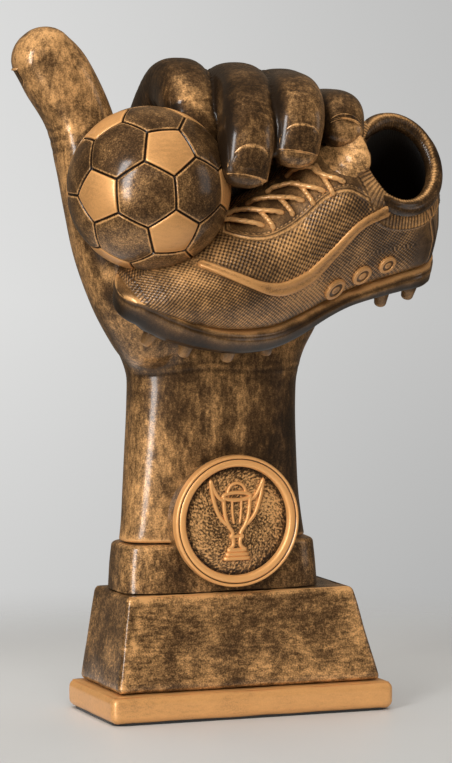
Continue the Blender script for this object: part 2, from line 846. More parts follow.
class TrophyBootSettings(bpy.types.PropertyGroup):
    knit_pitch: length("Knit pitch", "Spacing of the raised knit", 0.00130)
    knit_height: length("Knit height", "Height of the raised knit", 0.00026)
    fine_pitch: length("Fine pitch", "Spacing of the knit below the piping", 0.00118)
    fine_height: length("Fine height", "Height of the knit below the piping", 0.00017)


class TrophyFinishSettings(bpy.types.PropertyGroup):
    bronze_dark: colour("Dark bronze", "Resin in the hollows", (0.016, 0.0085, 0.0040))
    bronze_middle: colour("Bronze", "Rubbed resin", (0.105, 0.053, 0.0200))
    bronze_gold: colour("Bronze gold", "Dry-brushed gold", (0.400, 0.212, 0.080))
    gold_paint: colour("Gold enamel", "Painted gold", (0.72, 0.36, 0.125))
    felt: colour("Felt", "Pad under the plinth", (0.020, 0.022, 0.021))
    steel: colour("Steel", "Rod, nut, washer and pins", (0.60, 0.61, 0.63))


class TrophyStageSettings(bpy.types.PropertyGroup):
    azimuth: bpy.props.FloatProperty(
        name="Azimuth", description="The camera's turn round the trophy",
        default=math.radians(-21.0), subtype="ANGLE")
    elevation: bpy.props.FloatProperty(
        name="Elevation", description="The camera's height over the horizon",
        default=math.radians(4.738), subtype="ANGLE")
    distance: length("Distance", "From the camera to its target", 1.0)
    lens: bpy.props.FloatProperty(
        name="Lens", description="Focal length in millimetres", default=189.3)
    target: bpy.props.FloatVectorProperty(
        name="Target", description="Where the camera looks", subtype="TRANSLATION",
        default=(-0.00117, 0.0, 0.0823))


# ---- plinth


class TROPHY_OT_plinth(bpy.types.Operator):
    """Make the base slab, the tapered block and the collar step"""

    bl_idname = "trophy.plinth"
    bl_label = "Plinth"

    def execute(self, context):
        sizes = context.scene.trophy_plinth
        self.slab(sizes)
        self.block(sizes)
        self.collar()
        return {"FINISHED"}

    def slab(self, sizes):
        low, high = (Vector(corner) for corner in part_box("base_rim"))
        low.z = sizes.foot
        high.z = max(high.z, 0.0072)
        slab = primitive("cube", size=1, location=(low + high) / 2, scale=high - low)
        with editing(slab):
            pick("edge", upright)
            bpy.ops.mesh.bevel(offset=sizes.corner, segments=8)
            pick("edge", level(high.z))
            bpy.ops.mesh.bevel(offset=sizes.lip, segments=6)
            pick("edge", level(low.z))
            bpy.ops.mesh.bevel(offset=sizes.lip * 0.3, segments=3)
            gridded(0.0016)
        self.waver(slab, 0.00012, 0.009)
        mark_wear(slab)
        done(slab, "gold_slab", gold_paint("gold_enamel"), ["base_rim"],
             angle=50)

    def block(self, sizes):
        low, high = (Vector(corner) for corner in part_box("plinth_block"))
        foot = high - low
        shrink = Vector((1 - BLOCK_TAPER[0] / foot.x, 1 - BLOCK_TAPER[1] / foot.y, 1))
        block = primitive("cube", size=1, location=(low + high) / 2, scale=foot)
        with editing(block):
            pick("face", lambda f: f.normal.z > 0.9)
            bpy.ops.transform.resize(
                value=shrink, center_override=((low.x + high.x) / 2, 0, high.z))
            bpy.ops.transform.translate(value=(-TOP_SHIFT, 0, 0))
            pick("edge", upright)
            bpy.ops.mesh.bevel(offset=0.0013, segments=5)
            pick("edge", level(high.z))
            bpy.ops.mesh.bevel(offset=sizes.edge, segments=4)
            gridded(0.0016)
        self.waver(block, 0.00022, 0.008)
        points = coordinates(block.data)
        x, y, z = points.T
        near = np.clip(1 - (high.z - z) / 0.0015, 0, 1) * (y < -0.011)
        left = low.x + (z - low.z) / foot.z * (BLOCK_TAPER[0] / 2 + TOP_SHIFT)
        side = np.clip(1 - np.abs(x - left - 0.0008) / 0.0012, 0, 1) * (y < -0.010)
        front = (normals_of(block.data)[:, 1] < -0.8) * 0.16
        mark_wear(block, near * 0.9 + side * 0.6 + front)
        finish = bronze("bronze_plinth", 0.04, (0.35, 1.0, 1.2))
        done(block, "bronze_block", finish, ["plinth_block"], angle=50)

    def collar(self):
        low, high = (Vector(corner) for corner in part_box("collar_step"))
        middle, half = (low + high) / 2, (high - low) / 2
        collar = primitive(
            "cylinder", vertices=128, radius=1, depth=2, location=middle, scale=half)
        points = coordinates(collar.data)
        turn = np.arctan2((points[:, 1] - middle.y) / half.y, (points[:, 0] - middle.x) / half.x)
        taper = np.where(points[:, 2] > middle.z, 0.0009, 0.0)
        u, v = oval(turn, 4.0)
        points[:, 0] = middle.x + u * (half.x - taper)
        points[:, 1] = middle.y + v * (half.y - taper)
        set_coordinates(collar.data, points)
        with editing(collar):
            pick("edge", level(high.z))
            bpy.ops.mesh.bevel(offset=0.0011, segments=5)
            gridded(0.0014)
        self.waver(collar, 0.00022, 0.007)
        points = coordinates(collar.data)
        edge = np.clip(1 - np.abs(high.z - 0.0004 - points[:, 2]) / 0.0012, 0, 1)
        mark_wear(collar, edge * 0.4)
        finish = bronze("bronze_arm", 0.0, (1.0, 1.0, 0.4))
        done(collar, "bronze_collar", finish, ["collar_step"], angle=50)

    def waver(self, piece, amount, size):
        """Lets a cast surface drift a little, as hand-finished resin does."""
        points, normals = surface_of(piece)
        set_coordinates(piece.data, points + normals * (lumps(points, size) * amount)[:, None])


# ---- medallion


class TROPHY_OT_medallion(bpy.types.Operator):
    """Make the medallion's ring, its stippled disc, and the cup in relief"""

    bl_idname = "trophy.medallion"
    bl_label = "Medallion"

    def execute(self, context):
        sizes = context.scene.trophy_medal
        self.ring(sizes.bezel_width)
        self.disc(MEDAL_RADIUS - sizes.bezel_width)
        self.cup(sizes.relief)
        return {"FINISHED"}

    def ring(self, width):
        depth = BEZEL_HIGH[1] - BEZEL_LOW[1]
        inner = MEDAL_RADIUS - width
        profile = (  # share of the width from the inside, share of the depth from the back
            (0.00, 0.00), (1.00, 0.00), (1.00, 0.70), (0.975, 0.86), (0.90, 0.97), (0.83, 1.00),
            (0.76, 0.97), (0.71, 0.86), (0.66, 0.84), (0.61, 0.90), (0.52, 0.97), (0.36, 1.00),
            (0.20, 0.97), (0.09, 0.88), (0.02, 0.72),
        )
        ring = primitive("circle", vertices=len(profile), radius=1, fill_type="NOTHING")
        for vert, (across, out) in zip(ring.data.vertices, profile):
            vert.co = Vector((inner + across * width, 0.0, out * depth))
        with editing(ring):
            bpy.ops.mesh.spin(
                steps=120, angle=2 * math.pi, center=(0, 0, 0), axis=(0, 0, 1), use_auto_merge=True)
        outward(ring)
        ring.rotation_euler = (math.radians(90), 0, 0)
        ring.location = MEDAL_CENTRE
        placed(ring)
        points = coordinates(ring.data)
        out = np.hypot(points[:, 0] - MEDAL_CENTRE.x, points[:, 2] - MEDAL_CENTRE.z)
        groove = bell(out, inner + 0.675 * width, 0.05 * width)
        mark_wear(ring, -groove * 0.9, 0.00006, 2)
        done(ring, "gold_bezel", gold_paint("gold_bezel_paint", 0.98, 0.6), ["medallion_bezel"],
             angle=55)

    def disc(self, radius):
        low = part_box("medallion_disc")[0]
        disc = primitive(
            "circle", vertices=96, radius=radius + 0.0002, fill_type="NGON",
            location=(MEDAL_CENTRE.x, low[1], MEDAL_CENTRE.z), rotation=(math.radians(90), 0, 0))
        with editing(disc):
            for _ in range(24):
                bpy.ops.mesh.inset(thickness=radius / 25)
            bpy.ops.mesh.select_all(action="SELECT")
            bpy.ops.mesh.subdivide(number_cuts=1)
        points = coordinates(disc.data)
        out = np.hypot(points[:, 0] - MEDAL_CENTRE.x, points[:, 2] - MEDAL_CENTRE.z) / radius
        stipple = lumps(points, 0.0005) + 0.6 * lumps(points, 0.0002)
        points[:, 1] -= 0.0004 * smoothstep(1.0, 0.55, out) + stipple * 0.00007
        set_coordinates(disc.data, points)
        mark_wear(disc, 0.25 - 0.9 * smoothstep(0.86, 1.0, out), 0.00005, 3)
        done(disc, "stippled_disc", bronze("bronze_disc", 0.04), ["medallion_disc"])

    def cup(self, thickness):
        """A plain two-handled cup drawn in raised lines: half outlines, mirrored."""
        mirrored = lambda line: [(-x, z) for x, z in line]
        low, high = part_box("cup_emblem")
        face = low[1] + 0.0004
        half, tall = (high[0] - low[0]) / 2, (high[2] - low[2]) / 2
        middle = (low[2] + high[2]) / 2
        bowl = [(0.46, 0.60), (0.44, 0.30), (0.38, 0.06), (0.28, -0.12), (0.17, -0.24),
                (0.13, -0.32)]
        handle = [(0.46, 0.50), (0.66, 0.60), (0.86, 0.86), (0.92, 0.98), (0.84, 0.60),
                  (0.66, 0.20), (0.44, -0.02), (0.32, -0.08)]
        stem = [(0.13, -0.32), (0.20, -0.37), (0.13, -0.42), (0.12, -0.56), (0.20, -0.64),
                (0.30, -0.68)]
        flute = [(0.16, 0.50), (0.15, 0.20), (0.10, -0.06)]
        mouth = [(0.48 * math.cos(a), 0.60 + 0.09 * math.sin(a))
                 for a in np.linspace(0, 2 * math.pi, 25)]
        lid = [(0.32 * math.cos(a), 0.66 + 0.26 * math.sin(a)) for a in np.linspace(0, math.pi, 13)]
        sides = [(bowl, 1.0), (handle, 1.0), (stem, 1.0)]
        lines = sides + [(mirrored(line), weight) for line, weight in sides]
        lines += [(mouth, 1.0), (lid, 0.8)]
        lines += [([(-reach, z), (reach, z)], weight) for reach, z, weight in (
            (0.22, -0.37, 0.9), (0.34, -0.70, 1.1), (0.40, -0.80, 1.1), (0.46, -0.90, 1.1))]
        lines += [(flute, 0.6), (mirrored(flute), 0.6)]
        made = []
        for line, weight in lines:
            curve = bpy.data.curves.new("cup_line", "CURVE")
            curve.dimensions = "3D"
            curve.bevel_depth = thickness * weight
            curve.bevel_resolution = 3
            curve.use_fill_caps = True
            rows = spline([(x * half, z * tall) for x, z in line], 4)
            string = curve.splines.new("POLY")
            string.points.add(len(rows) - 1)
            for point, (x, z) in zip(string.points, rows):
                point.co = ((low[0] + high[0]) / 2 + x, face, middle + z, 1)
            only(linked("cup_line", curve))
            bpy.ops.object.convert(target="MESH")
            made.append(bpy.context.object)
        cup = joined(made)
        outward(cup)
        points = coordinates(cup.data)
        mark_wear(cup, (points[:, 1] < face) * 0.3 - 0.15, 0.00006, 2)
        done(cup, "cup_relief", gold_paint("gold_relief", 0.9, 0.9), ["cup_emblem"])


# ---- ball


class TROPHY_OT_ball(bpy.types.Operator):
    """Make the ball: dark six-sided and gold five-sided panels with sunk seams"""

    bl_idname = "trophy.ball"
    bl_label = "Ball"

    def execute(self, context):
        sizes = context.scene.trophy_ball
        ball = primitive("ico_sphere", subdivisions=1, radius=BALL_RADIUS)
        with editing(ball):
            bpy.ops.mesh.bevel(offset_type="PERCENT", offset_pct=100 / 3, affect="VERTICES")
        panels = [(np.array(p.normal), float(p.center.dot(p.normal)), len(p.vertices))
                  for p in ball.data.polygons]
        with editing(ball):
            bpy.ops.mesh.inset(thickness=sizes.groove_width, use_individual=True)
            bpy.ops.mesh.inset(thickness=SEAM_EDGE, use_individual=True)
            bpy.ops.mesh.inset(thickness=0.00050, use_individual=True)
            bpy.ops.mesh.poke()
            bpy.ops.mesh.select_all(action="SELECT")
            bpy.ops.mesh.subdivide(number_cuts=7)
        modified(ball, "CAST", cast_type="SPHERE", factor=1.0, radius=BALL_RADIUS,
                 use_radius_as_size=True)
        edging = self.sink_seams(ball, panels, sizes)
        ball.rotation_euler = BALL_TURN
        ball.location = BALL_CENTRE
        placed(ball)
        gold_faces = self.gold_faces(ball, panels)
        mark_wear(ball, edging)
        done(ball, "football", bronze("bronze_ball", 0.05), ["ball"])
        ball.data.materials.append(gold_paint("gold_panel", 1.0, 0.35))
        for face, gold in zip(ball.data.polygons, gold_faces):
            face.material_index = int(gold)
        return {"FINISHED"}

    def panel_at(self, ways, panels):
        """Which panel each way from the ball's centre meets, and how far from its seam."""
        nearness = np.stack([ways @ normal / height for normal, height, _ in panels], axis=1)
        ordered = np.sort(nearness, axis=1)
        seam = (ordered[:, -1] - ordered[:, -2]) * BALL_RADIUS ** 2 * 1.33
        return nearness.argmax(axis=1), seam

    def sink_seams(self, ball, panels, sizes):
        points = coordinates(ball.data)
        ways = unit(points)
        seam = self.panel_at(ways, panels)[1]
        groove = bell(seam, 0.0, sizes.groove_width * 1.15)
        edge = np.exp(-seam / 0.0011)
        radius = BALL_RADIUS - groove * sizes.groove_depth - edge * sizes.pillow
        set_coordinates(ball.data, ways * radius[:, None])
        line = bell(seam, sizes.groove_width * 2.2, SEAM_EDGE)
        return line * 0.75 - groove * 1.4 - 0.10

    def gold_faces(self, ball, panels):
        centres = np.array([p.center for p in ball.data.polygons]) - np.array(BALL_CENTRE)
        ways = unit(centres @ np.array(BALL_TURN.to_matrix()))
        nearest, seam = self.panel_at(ways, panels)
        sides = np.array([count for _, _, count in panels])[nearest]
        return (sides == 5) & (seam > SEAM_EDGE)


# ---- hand


class TROPHY_OT_hand(bpy.types.Operator):
    """Model the forearm, palm, thumb and fingers as one cast skin with folds and tendons"""

    bl_idname = "trophy.hand"
    bl_label = "Hand"

    def execute(self, context):
        sizes = context.scene.trophy_hand
        forms = []
        for stations, power in ((FOREARM_STATIONS, 2.5), (PALM_STATIONS, 2.3)):
            rows = spline(stations, 8)
            u, v = oval(circle(72), power)
            rings = np.stack((
                rows[:, 1:2] + rows[:, 3:4] * u, rows[:, 2:3] + rows[:, 4:5] * v,
                rows[:, 0:1] + 0 * u), axis=-1)
            forms.append(rings)
        forms.append(limb_rings(THUMB, across=THUMB_ACROSS)[0])
        forms += [limb_rings(stations)[0] for stations in FINGERS.values()]
        pieces = [from_points("form", *skin_of(in_trophy(rings, WRIST_PLACE))) for rings in forms]
        for piece in pieces:
            outward(piece)
        hand = joined(pieces)
        modified(hand, "REMESH", mode="VOXEL", voxel_size=sizes.voxel)
        modified(hand, "SMOOTH", factor=0.5, iterations=5)
        self.soften(hand)
        self.fold(hand, sizes.crease)
        mark_wear(hand, self.rubbing(hand), 0.00022, 7)
        done(hand, "hand_cast", bronze("bronze_hand", -0.03, (1.0, 1.0, 0.35), grain=0.8),
             ["forearm", "palm", "thumb", *(name + "_finger" for name in FINGERS)])
        return {"FINISHED"}

    def soften(self, hand):
        """Blends the thumb's root and the heel of the palm into the wrist."""
        mesh = hand.data
        points, edges = coordinates(mesh), edges_of(mesh)
        local = points - np.array(WRIST)
        weight = smoothstep(0.040, 0.026, local[:, 2]) * smoothstep(-0.012, 0.0, local[:, 2])
        relaxed = averaged(points, edges, 26)
        push = normals_of(mesh) * 0.00018
        set_coordinates(mesh, points + (relaxed + push - points) * (0.9 * weight)[:, None])

    def fold(self, hand, depth):
        """Presses wrist lines and finger folds in, and raises the tendons and knuckles."""
        points, normals = surface_of(hand)
        local = points - np.array(WRIST)
        x, _, z = local.T
        front = smoothstep(0.2, -0.6, normals[:, 1])
        move = np.zeros(len(points))
        for height, strength, bend in ((0.0012, 0.3, 0.0008), (0.0034, 0.15, 0.0006)):
            line = z - height - bend * np.cos(x / 0.014) + 0.0004 * np.sin(x / 0.0042)
            move -= front * strength * depth * bell(line, 0.0, 0.00055)
        for place, width, height in ((-0.0035, 0.0024, 0.00055), (0.0035, 0.0020, 0.00035)):
            fade = smoothstep(0.006, -0.004, z) * smoothstep(-0.034, -0.010, z)
            move += front * fade * height * bell(x - 0.02 * z, place, width)
        for stations in FINGERS.values():
            rows = spline(stations, 8)
            path, widths = rows[:, :3], rows[:, 3]
            near, at = distance_to(path, local)
            along = at / (len(path) - 1)
            mine = near < widths[at] * 1.25
            for spot, strength in (
                    (0.40, 0.8), (0.43, 1.0), (0.46, 0.7), (0.70, 0.8), (0.725, 0.6)):
                here = bell(along + 0.004 * np.sin(x / 0.0016), spot, 0.0065)
                move -= mine * here * strength * depth * 0.55 * smoothstep(0.1, -0.7, normals[:, 1])
            knuckle = bell(along, 0.40, 0.07)
            move += mine * knuckle * 0.00030
        rows = spline(THUMB, 8)
        near, at = distance_to(rows[:, :3], local)
        along = at / (len(rows) - 1)
        mine = near < rows[at, 3] * 1.3
        for spot, strength in ((0.62, 0.7), (0.655, 1.0), (0.69, 0.7)):
            here = bell(along, spot, 0.008)
            move -= mine * here * strength * depth * 0.5 * smoothstep(-0.2, -0.9, normals[:, 0])
        set_coordinates(hand.data, points + normals * move[:, None])

    def rubbing(self, hand):
        """How much gold the brush left: fronts of the fingers, the thumb and the thumb's root."""
        points, normals = surface_of(hand)
        x, _, z = (points - np.array(WRIST)).T
        thumb = smoothstep(-0.012, -0.026, x) * smoothstep(0.004, 0.02, z)
        fronts = smoothstep(0.030, 0.048, z) * smoothstep(-0.016, -0.010, x)
        facing = smoothstep(0.25, -0.75, normals[:, 1])
        top = smoothstep(0.5, 0.95, normals[:, 2]) * smoothstep(0.05, 0.062, z)
        left_arm = smoothstep(0.002, -0.016, x) * smoothstep(0.004, -0.006, z)
        right_dark = smoothstep(0.002, 0.014, x) * smoothstep(0.006, -0.002, z)
        share, degrees = np.meshgrid(np.linspace(0, 1, 70), np.arange(-180, 180, 6))
        boot = in_trophy(upper_points(share.ravel(), degrees.ravel()))
        width, under, _, _ = boot_rows(share.ravel())
        sole = np.stack((share.ravel() * BOOT_LENGTH, width * np.cos(np.radians(degrees.ravel())),
                         under), axis=-1)
        held = distance_to(np.vstack((boot, in_trophy(sole))), points)[0]
        ball = np.abs(np.linalg.norm(points - np.array(BALL_CENTRE), axis=1) - BALL_RADIUS)
        crevice = smoothstep(0.0042, 0.0010, np.minimum(held, ball))
        index_back = (
            smoothstep(-0.3, -0.8, normals[:, 0]) * smoothstep(0.05, 0.06, z) * (x > -0.024))
        return (thumb * 0.30 * smoothstep(0.6, -0.3, normals[:, 1])
                + fronts * (facing * 0.22 - 0.34) - top * 0.25 - index_back * 0.85
                + left_arm * 0.16 - right_dark * 0.30 - crevice * 0.7)


class TROPHY_OT_nails(bpy.types.Operator):
    """Lay a nail with its raised fold on the middle, ring and little fingers and the thumb"""

    bl_idname = "trophy.nails"
    bl_label = "Nails"

    def execute(self, context):
        for finger, place in NAILS.items():
            stations = FINGERS.get(finger, THUMB)
            across = ACROSS if finger in FINGERS else THUMB_ACROSS
            self.nail(finger + "_nail", limb_rings(stations, steps=24, across=across), *place)
        return {"FINISHED"}

    def nail(self, name, limb, start, stop, turn, spread, lift):
        _, path, side, back, rows = limb
        nail = primitive("grid", x_subdivisions=44, y_subdivisions=44, size=2)
        uv = coordinates(nail.data)
        u, v = uv[:, 0] * 1.16, uv[:, 1] * 1.16
        power = np.where(v > 0, NAIL_ROOT_POWER, NAIL_EDGE_POWER)
        arch = (np.abs(u) ** power + np.abs(v) ** power) ** (1 / power)
        plate = smoothstep(0.98, 0.84, arch) * 0.00034
        ridge = bell(arch, 0.97, 0.055) * 0.00036
        fall = smoothstep(1.02, 1.16, arch) * 0.0009
        along = start + (stop - start) * (1 - v) / 2
        edge = smoothstep(-0.80, -0.94, v) * smoothstep(1.02, 0.96, np.abs(u)) * 0.00030
        height = lift + plate + ridge - fall + edge
        at = along * (len(path) - 1)
        low = np.clip(at.astype(int), 0, len(path) - 2)
        t = (at - low)[:, None]
        centre, way, out, sizes = (
            table[low] * (1 - t) + table[low + 1] * t for table in (path, side, back, rows))
        angle = u * spread + math.radians(turn)
        ring = np.sin(angle)[:, None] * way * (sizes[:, 3] + height)[:, None]
        ring = ring + np.cos(angle)[:, None] * out * (sizes[:, 4] + height)[:, None]
        set_coordinates(nail.data, in_trophy(centre + ring, WRIST_PLACE))
        if (normals_of(nail.data) * unit(ring)).sum() < 0:
            flip(nail)
        modified(nail, "SOLIDIFY", thickness=0.0006, offset=-1)
        nearest = distance_to(in_trophy(centre + ring, WRIST_PLACE), coordinates(nail.data))[1]
        gold = np.maximum(bell(arch, 0.97, 0.05), edge / 0.00030)
        mark_wear(nail, gold[nearest] * 0.95 - 0.10)
        done(nail, name, bronze("bronze_nail", -0.02, (1.0, 1.0, 0.35)))


# ---- boot


def capped(body):
    """Shares of the length with round ends added, and at each how narrow the end is and its reach.

    Each end is an arc that leaves the boot's side at the side's own slope.
    """
    turn = np.radians(np.linspace(45, 89.5, 12))
    narrow, reach = np.cos(turn) / math.cos(math.pi / 4), np.sin(turn) - math.sin(math.pi / 4)
    count = len(turn)
    share = np.concatenate((np.zeros(count), body[1:-1], np.ones(count)))
    narrow = np.concatenate((narrow[::-1], np.ones(len(body) - 2), narrow))
    reach = np.concatenate((
        -reach[::-1] * TOE_REACH, np.zeros(len(body) - 2), reach * HEEL_REACH))
    return share, narrow, reach


class TROPHY_OT_upper(bpy.types.Operator):
    """Knit the boot's upper in two halves, with its lace panel, ribs and heel seam"""

    bl_idname = "trophy.upper"
    bl_label = "Boot upper"

    def execute(self, context):
        sizes = context.scene.trophy_boot
        self.half("knit_outer_side", sizes, 90.0, -74.0, 0.000190)
        self.half("knit_inner_side", sizes, 90.0, 254.0, 0.000240)
        return {"FINISHED"}

    def half(self, name, sizes, top, low, spacing):
        """One side of the upper as a fine grid from the top line to under the sole's edge."""
        share, shrink, bulge = capped(np.linspace(0.0, 1.0, int(BOOT_LENGTH / spacing)))
        fine = np.linspace(top, low, 500)
        dense = upper_points(share[:, None], fine[None, :])
        steps = np.linalg.norm(np.diff(dense, axis=1), axis=2)
        length = np.concatenate((np.zeros((len(share), 1)), np.cumsum(steps, axis=1)), axis=1)
        columns = int(length[:, -1].max() / spacing) + 1
        degrees = np.stack([
            np.interp(np.linspace(0, row[-1], columns), row, fine) for row in length])
        down = np.linspace(0, 1, columns)[None, :] * length[:, -1:]
        points = upper_points(share[:, None], degrees)
        middle = upper_points(share, np.full(len(share), 90.0)) * 0.5 + upper_points(
            share, np.full(len(share), -90.0)) * 0.5
        points = middle[:, None] + (points - middle[:, None]) * shrink[:, None, None]
        points[..., 0] += bulge[:, None]
        along = np.gradient(points, axis=0)
        around = np.gradient(points, axis=1)
        normal = unit(np.cross(along, around))
        if top > low:
            normal = -normal
        height, gold = self.pattern(points, share[:, None] + 0 * degrees, degrees, down, sizes)
        points = points + normal * height[..., None]
        flat, faces = skin_of(points, closed=False, ends=False)
        if top > low:
            faces = [face[::-1] for face in faces]
        keep = self.outside_opening(flat)
        faces = [face for face in faces if keep[face[0]] or keep[face[2]]]
        piece = from_points(name, in_trophy(flat), faces)
        layer = piece.data.attributes.new("gold", "FLOAT", "POINT")
        layer.data.foreach_set("value", gold.ravel().astype(np.float32))
        with editing(piece):
            bpy.ops.mesh.remove_doubles(threshold=WELD)
            bpy.ops.mesh.delete_loose()
        layer = piece.data.attributes["gold"]
        gold = listed(layer.data, "value", 1, np.float32)[:, 0]
        piece.data.attributes.remove(layer)
        mark_wear(piece, gold, 0.00007, 4)
        finish = bronze("bronze_knit", 0.14, grain=0.6, roughness=0.40, gloss=0.30)
        done(piece, name, finish, ["boot_upper"])

    def pattern(self, points, share, degrees, down, sizes):
        """Height over the plain skin, and how golden it is, from the boot's own lines."""
        flat = points.reshape(-1, 3)
        folded = np.where(degrees > 90, 180 - degrees, degrees)
        piping = spline(PIPING, 24)
        panel = spline(LACE_PANEL, 24)
        piping_line = upper_points(piping[:, 0], piping[:, 1])
        panel_line = upper_points(panel[:, 0], panel[:, 1])
        outer = upper_points(share, folded)
        near_piping = distance_to(piping_line, outer.reshape(-1, 3))[0].reshape(share.shape)
        near_panel = distance_to(panel_line, outer.reshape(-1, 3))[0].reshape(share.shape)
        above_piping = folded > np.interp(share, piping[:, 0], piping[:, 1], left=95, right=45)
        in_panel = (folded > np.interp(share, panel[:, 0], panel[:, 1])) & (share > 0.30) & (
            share < 0.80)
        roll = opening_path(np.linspace(-math.pi, math.pi, 181))
        near_roll = distance_to(roll, flat)[0].reshape(share.shape)
        u, v = share * BOOT_LENGTH, down
        coarse = self.knit(u, v, sizes.knit_pitch)
        fine = self.knit(
            u + 0.25 * sizes.fine_pitch, np.abs(points[..., 1]) - points[..., 2],
            sizes.fine_pitch, 0.8)
        edge = smoothstep(0.0, 0.0012, near_panel)
        knit = np.where(above_piping, coarse * sizes.knit_height, fine * sizes.fine_height)
        gold = np.where(above_piping, (coarse - 0.42) * 0.85, (fine - 0.5) * 0.65)
        heel = smoothstep(0.90, 0.95, share)
        toe = smoothstep(0.012, 0.0, share)
        counter = smoothstep(0.85, 0.91, share) * (1 - above_piping)
        tame = (1 - heel) * (1 - toe) * (1 - counter) * smoothstep(-60, -48, folded)
        seam_low = smoothstep(-30, -50, folded)
        knit = knit * tame
        gold = gold * tame - 0.25 * (1 - tame) - 0.15 * seam_low
        # lace panel: smooth, with a raised border and a line of stitches inside it
        border = bell(near_panel, 0.0004, 0.00028)
        stitch = bell(near_panel, 0.0013, 0.00016) * waves(u * 2 * math.pi / STITCH_PITCH)
        panel_height = 0.00022 + border * 0.00020 - stitch * 0.00012
        knit = np.where(in_panel, panel_height * edge + border * 0.0002, knit * edge)
        gold = np.where(in_panel, -0.10 + border * 0.75 - stitch * 0.25, gold)
        # ribs in a band under the padded roll
        ribbed = smoothstep(0.0058, 0.0050, near_roll) * (share > 0.70)
        x, y = in_opening(points)
        ribs = waves(np.arctan2(y, x) * BAND_RIBS)
        rim = bell(near_roll, 0.0054, 0.0004)
        knit = knit * (1 - ribbed) + ribbed * (0.00012 + ribs * 0.00016) + rim * 0.00022
        gold = gold * (1 - ribbed) + ribbed * (ribs * 0.75 - 0.20) + rim * 0.3
        # the heel counter's stitched seam
        arc = share - 0.935 - 0.02 * np.cos(np.radians(folded) * 1.6)
        knit = knit - bell(arc, 0.0, 0.0035) * 0.00030 + bell(arc, 0.010, 0.0035) * 0.00014
        # the piping's bed
        knit = knit * smoothstep(0.0008, 0.0020, near_piping)
        return knit, np.clip(gold, -0.9, 1.0)

    def knit(self, u, v, pitch, sharp=1.2):
        wave = 0.5 + 0.5 * np.cos(u * 2 * math.pi / pitch) * np.cos(v * 2 * math.pi / pitch)
        return wave ** (1.6 * sharp)

    def outside_opening(self, flat):
        x, y = in_opening(flat)
        under = float(boot_rows(OPENING_AT)[3]) - 0.010
        return (x * x + y * y > 0.92 ** 2) | (flat[:, 2] < under)


